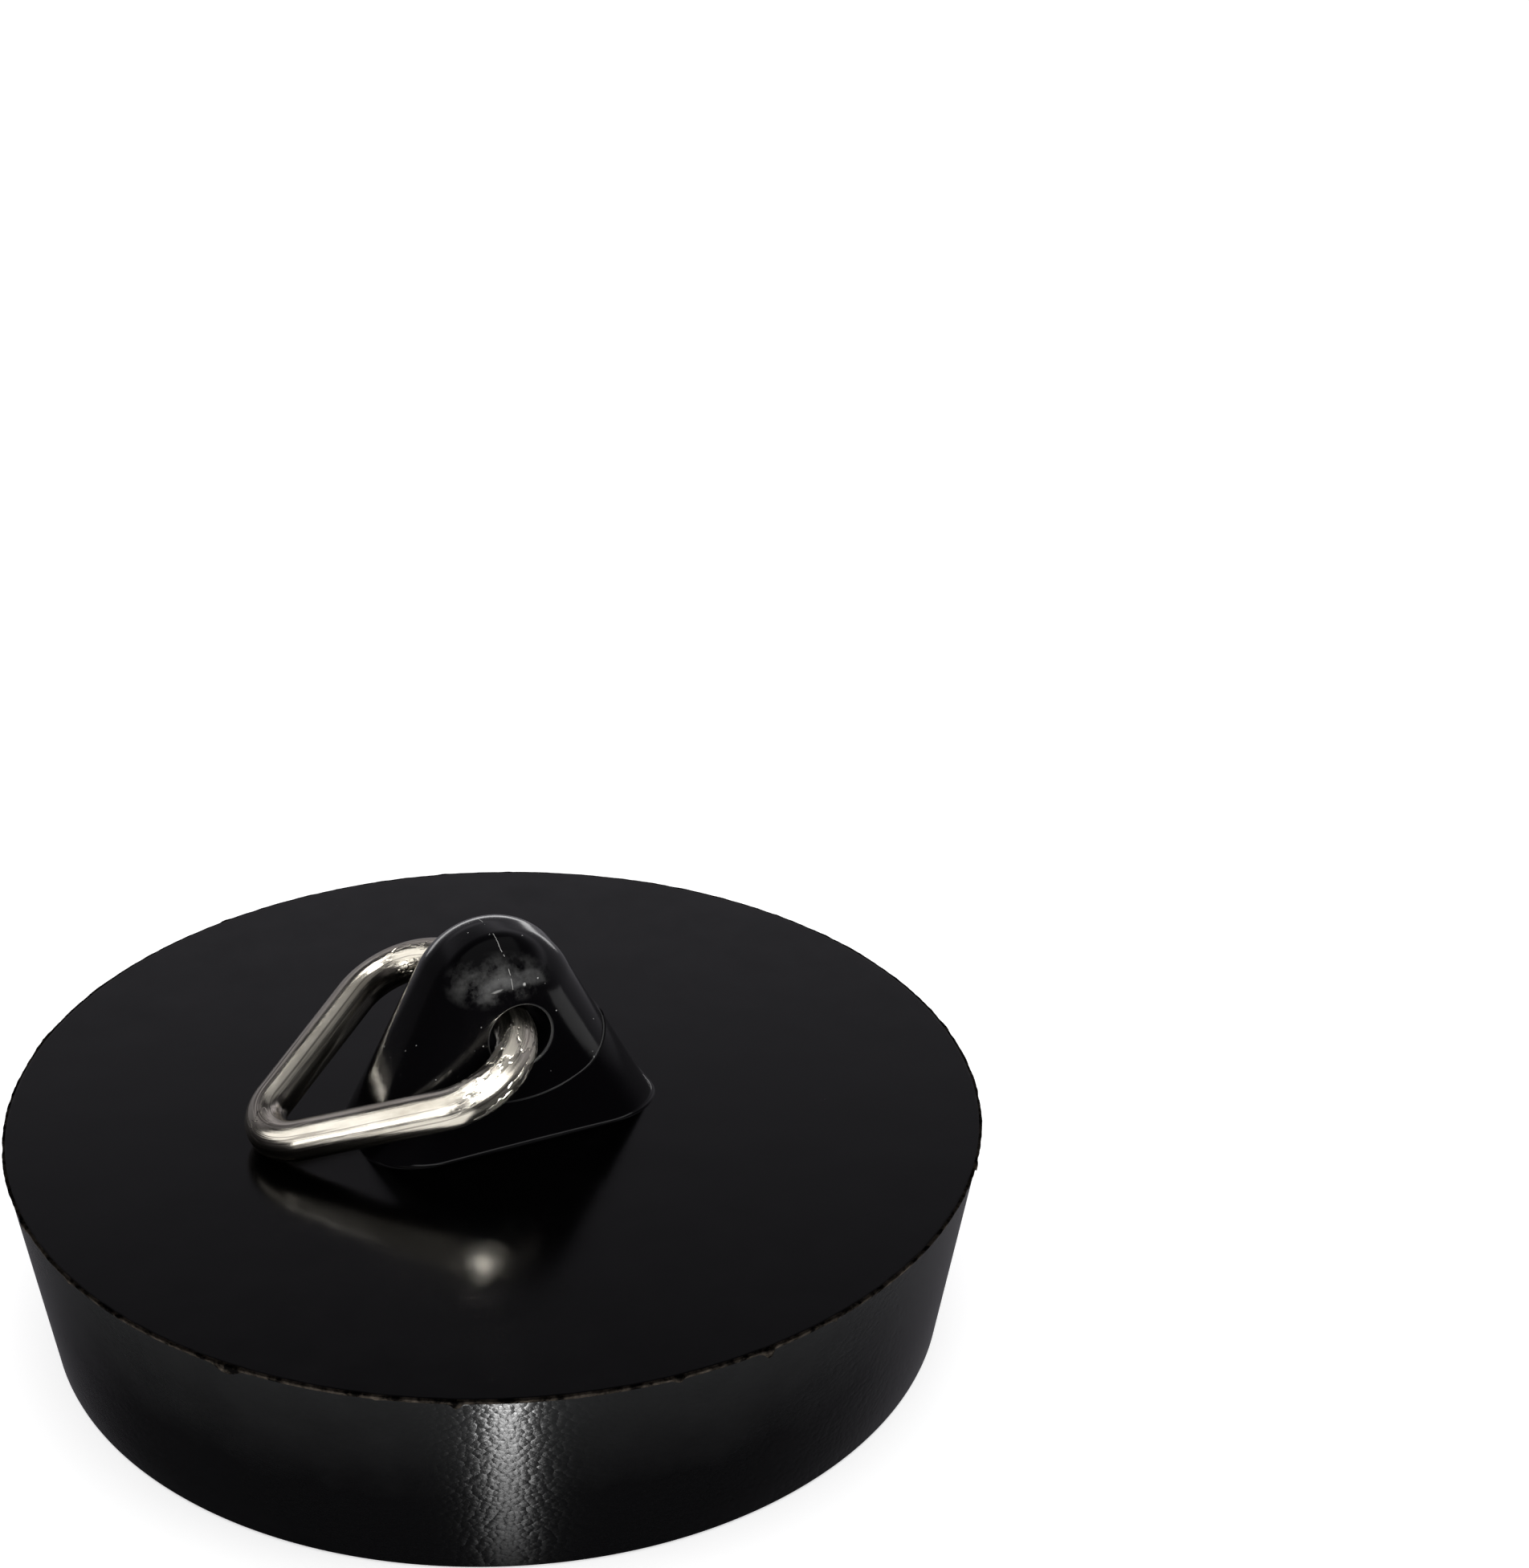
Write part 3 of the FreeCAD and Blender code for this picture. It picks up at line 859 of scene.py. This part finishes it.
def wire_steel():
    """Bright drawn stainless wire: long draw lines, a little tarnish, grooves shown only as dark lines of
    painted shade, and flats that the bending left.
    """
    finish = Finish("wire_steel")
    wire = finish.own("drawn", "Vector")
    bent = finish.own("scuffed", "Fac")
    lines = finish.noise(per_mm=5, detail=4, roughness=0.65, stretch=(0.02, 1, 1), place=wire)
    hollow = finish.noise(per_mm=1.7, detail=2, roughness=0.5, stretch=(0.02, 1, 1), place=wire)
    off_groove = finish.math("ABSOLUTE", finish.math("SUBTRACT", hollow, GROOVE_MIDDLE), 0)
    # Painted shade: dark lines along the grooves, which have no relief
    groove_shade = finish.span(off_groove, of=(0.008, 0.02), to=(1, 0))
    tarnish = finish.noise(per_mm=0.9, detail=4, roughness=0.6, stretch=(0.35, 1, 1), place=wire)
    ridges = finish.noise(per_mm=7, detail=3, roughness=0.7, stretch=(0.15, 1, 1), place=wire)
    dabs = finish.noise(per_mm=1.5, detail=3, roughness=0.6, stretch=(0.4, 1, 1), place=wire)
    flats = finish.math("MULTIPLY", finish.span(dabs, of=(0.49, 0.53), to=(0, 1)),
                        finish.span(bent, of=(0.3, 0.6), to=(0, 1)))
    tone = finish.mix(finish.span(tarnish, of=(0.35, 0.7), to=(0, 1)), STEEL_BRIGHT, STEEL_TARNISHED)
    tone = finish.mix(finish.math("MULTIPLY", groove_shade, GROOVE_SHADE_SHARE), tone, STEEL_GROOVE_SHADE)
    finish.set(Base_Color=tone, Metallic=1.0)
    finish.set(Roughness=finish.math("ADD", finish.span(lines, of=(0.3, 0.7), to=(0.12, 0.26)),
                                     finish.math("MULTIPLY", flats, FLAT_ROUGHNESS)))
    raised = finish.math("ADD", flats, finish.math("MULTIPLY", flats, ridges))
    finish.set(Normal=finish.bump(raised, depth_mm=0.022, under=finish.bump(lines, depth_mm=0.02)))
    return finish.made


# Stage

FLOOR_HALF = 3000
FLOOR_DROP = 0.01           # keeps the floor just clear of the mouth rim
FLOOR_WHITE = (0.9, 0.9, 0.9, 1)
FLOOR_GLOW = 0.7

CAMERA_PLACE = (-56.94, -140.39, 106.94)
CAMERA_TURN = math.radians(-27.0)
CAMERA_TILT = math.radians(27.33)
CAMERA_ROLL = math.radians(1.01)
CAMERA_LENS = 82.62
CAMERA_SENSOR = 36
CAMERA_NEAR = 10
CAMERA_FAR = 20000

# Greys of the room by height, from -1 straight down to 1 straight up
ROOM_TONES = ((-1.0, 0.2), (-0.35, 0.24), (0.36, 0.27), (0.44, 0.62), (0.48, 0.58), (0.53, 0.37),
              (0.59, 0.2), (0.65, 0.08), (0.75, 0.03))
ROOM_TINT = (1, 0.97, 1.06)
ROOM_SIDES = (0.1, 0.9)     # X and Y of a direction added up: dim below the first, full above the second
ROOM_DIM = 0.12

# Lamps close to the plug, that show as reflections
ALL_ROUND = math.pi         # spread of a lamp that shines to all sides
STREAK_AZIMUTH = -21.5
STREAK_REACH = 60
STREAK_LAMP_Z = 8
STREAK_SPREAD = math.radians(36)
GLINTS = ((-78, 76), (-143, 65))    # azimuth and elevation of the ring's glints
SPARK_LAMP = (3.1, -37.7, 39)
SPARK_TARGET = (-2, -6.5, 15.5)
SPARK_SPREAD = math.radians(12)
FLANK_LAMP = (59, -36, 7)
FLANK_TARGET = (3, -3, 16)
RING_CARD = (-11.5, -11.8, PLUG_HEIGHT + 0.2)
RING_CARD_TARGET = (-11.5, -11.8, PIVOT_Z)


def floor():
    """Plain pale floor."""
    shape = bmesh.new()
    bmesh.ops.create_grid(shape, x_segments=1, y_segments=1, size=FLOOR_HALF * MM,
                          matrix=Matrix.Translation(metres(0, 0, -FLOOR_DROP)))
    mesh = bpy.data.meshes.new("floor")
    shape.to_mesh(mesh)
    shape.free()
    paint = Finish("floor_white")
    paint.set(Base_Color=FLOOR_WHITE, Roughness=0.8)
    paint.set(Emission_Color=(1, 1, 1, 1), Emission_Strength=FLOOR_GLOW)
    mesh.materials.append(paint.made)
    made = bpy.data.objects.new("floor", mesh)
    made.visible_glossy = False
    bpy.context.scene.collection.objects.link(made)
    return made


def camera():
    """Camera where the photograph was taken from."""
    data = bpy.data.cameras.new("camera")
    data.lens = CAMERA_LENS
    data.sensor_width = CAMERA_SENSOR
    data.clip_start = CAMERA_NEAR * MM
    data.clip_end = CAMERA_FAR * MM
    made = bpy.data.objects.new("camera", data)
    turn = Matrix.Rotation(CAMERA_TURN, 4, "Z")
    tilt = Matrix.Rotation(math.pi / 2 - CAMERA_TILT, 4, "X")
    roll = Matrix.Rotation(CAMERA_ROLL, 4, "Z")
    made.matrix_world = Matrix.Translation(metres(*CAMERA_PLACE)) @ turn @ tilt @ roll
    bpy.context.scene.collection.objects.link(made)
    bpy.context.scene.camera = made


def lamp(name, place, away, width, height, watts, only):
    """Rectangular lamp that lights all pieces or only some. It shines against the direction away."""
    data = bpy.data.lights.new(name, "AREA")
    data.shape = "RECTANGLE"
    data.size = width * MM
    data.size_y = height * MM
    data.energy = watts
    made = bpy.data.objects.new(name, data)
    made.location = place * MM
    made.rotation_mode = "QUATERNION"
    made.rotation_quaternion = away.to_track_quat("Z", "Y")
    made.visible_camera = False
    bpy.context.scene.collection.objects.link(made)
    if only:
        lit = bpy.data.collections.new(name + "_lit")
        for one in only:
            lit.objects.link(one)
        made.light_linking.receiver_collection = lit
    return made


def soft_light(name, azimuth, elevation, distance, width, height, watts, only=()):
    """Broad lamp that faces the plug. Its azimuth counts in degrees from the front to the right."""
    turn = math.radians(azimuth)
    lift = math.radians(elevation)
    way = Vector((math.sin(turn) * math.cos(lift), -math.cos(turn) * math.cos(lift), math.sin(lift)))
    place = way * distance + Vector((0, 0, PLUG_HEIGHT))
    return lamp(name, place, way, width, height, watts, only)


def near_lamp(name, place, target, width, height, watts, spread, only):
    """Small lamp close to the plug that faces a target and shows only as a reflection."""
    made = lamp(name, Vector(place), Vector(place) - Vector(target), width, height, watts, only)
    made.data.spread = spread
    made.visible_diffuse = False


def streak_lamp(plug):
    """Lamp low in front of the wall: its streak is strongest near the rim."""
    turn = math.radians(STREAK_AZIMUTH)
    way = Vector((math.sin(turn), -math.cos(turn), 0))
    place = way * STREAK_REACH + Vector((0, 0, STREAK_LAMP_Z))
    target = way * TOP_RADIUS + Vector((0, 0, PLUG_HEIGHT))
    near_lamp("streak_lamp", place, target, width=1.2, height=4, watts=0.026, spread=STREAK_SPREAD,
              only=[plug])


def surroundings():
    """Dim room: paler low down behind the plug and to its right, dark above and in front."""
    world = bpy.data.worlds.new("room")
    bpy.context.scene.world = world
    world.use_nodes = True
    nodes = world.node_tree.nodes
    links = world.node_tree.links
    backdrop = nodes["Background"]
    place = nodes.new("ShaderNodeTexCoord")
    part = nodes.new("ShaderNodeSeparateXYZ")
    links.new(place.outputs["Generated"], part.inputs["Vector"])
    lift = nodes.new("ShaderNodeMapRange")
    lift.inputs["From Min"].default_value = -1
    links.new(part.outputs["Z"], lift.inputs["Value"])
    tones = nodes.new("ShaderNodeValToRGB")
    links.new(lift.outputs["Result"], tones.inputs["Fac"])
    for stop, (height, grey) in zip(ramp_stops(tones.color_ramp, len(ROOM_TONES)), ROOM_TONES):
        stop.position = (height + 1) / 2
        stop.color = (*(grey * tint for tint in ROOM_TINT), 1)
    side = nodes.new("ShaderNodeMath")
    side.operation = "ADD"
    links.new(part.outputs["X"], side.inputs[0])
    links.new(part.outputs["Y"], side.inputs[1])
    lit = nodes.new("ShaderNodeMapRange")
    lit.inputs["From Min"].default_value, lit.inputs["From Max"].default_value = ROOM_SIDES
    lit.inputs["To Min"].default_value = ROOM_DIM
    links.new(side.outputs["Value"], lit.inputs["Value"])
    links.new(tones.outputs["Color"], backdrop.inputs["Color"])
    links.new(lit.outputs["Result"], backdrop.inputs["Strength"])


def ramp_stops(ramp, count):
    """The stops of a colour ramp, with enough of them added."""
    while len(ramp.elements) < count:
        ramp.elements.new(0.5)
    return list(ramp.elements)


def light_plug(ground, plug, top, base):
    """Lights of the floor, the cup and the lug with its foot."""
    soft_light("floor_light", azimuth=0, elevation=88, distance=900, width=1200, height=1200, watts=7,
               only=[ground])
    soft_light("top_light", azimuth=0, elevation=88, distance=900, width=1200, height=1200, watts=0.9)
    dust_light = soft_light("dust_light", azimuth=-14, elevation=38, distance=600, width=900, height=400,
                            watts=5, only=[top, base])
    dust_light.visible_glossy = False
    soft_light("lug_light", azimuth=14, elevation=25, distance=600, width=950, height=260, watts=1.3,
               only=[top, base])
    soft_light("rim_light", azimuth=160, elevation=0, distance=600, width=800, height=100, watts=0.6,
               only=[top, base])
    near_lamp("flank_lamp", FLANK_LAMP, FLANK_TARGET, width=34, height=18, watts=0.0018, spread=ALL_ROUND,
              only=[top])
    streak_lamp(plug)


def light_ring(ring):
    """Lights of the ring alone: broad ones for its legs, small ones for its glints."""
    soft_light("ring_side_light", azimuth=-97, elevation=38, distance=600, width=620, height=500,
               watts=1.5, only=[ring])
    soft_light("ring_front_light", azimuth=-54, elevation=17, distance=600, width=220, height=340,
               watts=0.8, only=[ring])
    soft_light("ring_top_light", azimuth=-150, elevation=78, distance=700, width=500, height=500,
               watts=0.12, only=[ring])
    near_lamp("spark_lamp", SPARK_LAMP, SPARK_TARGET, width=7, height=7, watts=0.002, spread=SPARK_SPREAD,
              only=[ring])
    near_lamp("ring_card", RING_CARD, RING_CARD_TARGET, width=16, height=10, watts=0.0006,
              spread=ALL_ROUND, only=[ring])
    for azimuth, elevation in GLINTS:
        soft_light("glint_light", azimuth, elevation, distance=400, width=50, height=50, watts=0.25,
                   only=[ring])


def build():
    """The pieces on their bodies, then the stage and its lights."""
    lug_finish = lug_rubber()
    cup_finishes = [disc_rubber(), wall_rubber(), cavity_rubber(), fin_rubber(), rim_rubber()]
    plug = piece("plug_cup", cup(), cup_finishes, "plug", "stopper_body")
    top = piece("plug_lug", lug(), [lug_finish], "plug", "stopper_body")
    base = piece("lug_foot", foot(), [lug_finish], "plug", "stopper_body")
    ring = piece("wire_ring", wire_ring(), [wire_steel()], "ring", "pull_ring")
    ground = floor()
    camera()
    surroundings()
    light_plug(ground, plug, top, base)
    light_ring(ring)
    bpy.context.scene.view_settings.view_transform = "Standard"


build()
